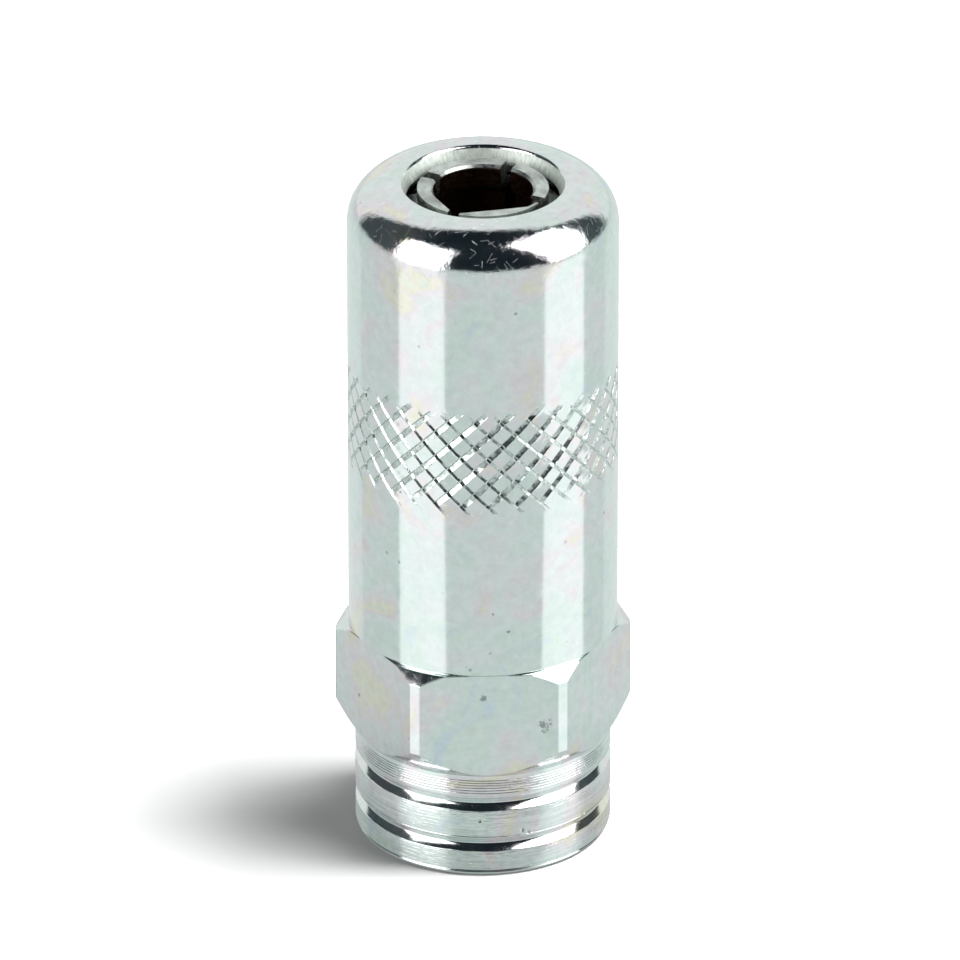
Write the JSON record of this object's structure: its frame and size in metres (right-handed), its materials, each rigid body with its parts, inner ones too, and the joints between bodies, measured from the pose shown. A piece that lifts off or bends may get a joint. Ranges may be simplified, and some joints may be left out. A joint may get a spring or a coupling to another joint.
{
  "type": "grease coupler",
  "caption": "Straight grease coupler: knurled round-nosed sleeve with spring-loaded gripping jaws and a rubber seal in its mouth, on a hexagon adapter with a threaded inlet.",
  "frame": {"origin": "centre of the threaded end's face, on the axis, where the coupler stands in the picture", "axes": "+Z along the axis towards the nose and jaws; one flat of the hexagon faces -Y, so its corners lie on +X and -X"},
  "size_m": [0.017, 0.0154, 0.0409],
  "materials": {
    "zinc_plated_steel": "turned and zinc plated, clear passivated",
    "hardened_steel": "hardened, fine turned",
    "spring_steel": "drawn wire",
    "ball_steel": "polished",
    "black_rubber": "moulded, matt"
  },
  "bodies": {
    "housing": {"rear_adapter": "zinc_plated_steel", "nose_sleeve": "zinc_plated_steel", "check_spring_retainer": "zinc_plated_steel", "main_spring": "spring_steel", "check_spring": "spring_steel"},
    "plunger": {"piston": "zinc_plated_steel", "mouth_seal": "black_rubber", "piston_o_ring": "black_rubber", "jaw_spreader_ring": "spring_steel"},
    "jaw_right": {"jaw_right": "hardened_steel"},
    "jaw_back": {"jaw_back": "hardened_steel"},
    "jaw_left": {"jaw_left": "hardened_steel"},
    "jaw_front": {"jaw_front": "hardened_steel"},
    "valve_ball": {"check_ball": "ball_steel"}
  },
  "joints": [
    {"name": "piston_slide", "type": "slide", "parent": "housing", "child": "plunger", "axis": [0, 0, 1], "range_m": [-0.0022, 0], "stiffness_N_per_m": 1000, "springref_m": 0.004, "deforming": ["main_spring"]},
    {"name": "jaw_right_tilt", "type": "hinge", "parent": "plunger", "child": "jaw_right", "pos_m": [0.00385, 0.00107, 0.0305], "axis": [-0.2672, 0.9636, 0], "range_deg": [0, 3.7]},
    {"name": "jaw_back_tilt", "type": "hinge", "parent": "plunger", "child": "jaw_back", "pos_m": [-0.00107, 0.00385, 0.0305], "axis": [-0.9636, -0.2672, 0], "range_deg": [0, 3.7]},
    {"name": "jaw_left_tilt", "type": "hinge", "parent": "plunger", "child": "jaw_left", "pos_m": [-0.00385, -0.00107, 0.0305], "axis": [0.2672, -0.9636, 0], "range_deg": [0, 3.7]},
    {"name": "jaw_front_tilt", "type": "hinge", "parent": "plunger", "child": "jaw_front", "pos_m": [0.00107, -0.00385, 0.0305], "axis": [0.9636, 0.2672, 0], "range_deg": [0, 3.7]},
    {"name": "check_ball_lift", "type": "slide", "parent": "housing", "child": "valve_ball", "axis": [0, 0, 1], "range_m": [0, 0.0008], "stiffness_N_per_m": 800, "springref_m": -0.0015, "deforming": ["check_spring"]}
  ],
  "couplings": [
    {"joint": "jaw_right_tilt", "follows": "piston_slide", "rad_per_m": -28.56},
    {"joint": "jaw_back_tilt", "follows": "piston_slide", "rad_per_m": -28.56},
    {"joint": "jaw_left_tilt", "follows": "piston_slide", "rad_per_m": -28.56},
    {"joint": "jaw_front_tilt", "follows": "piston_slide", "rad_per_m": -28.56}
  ]
}
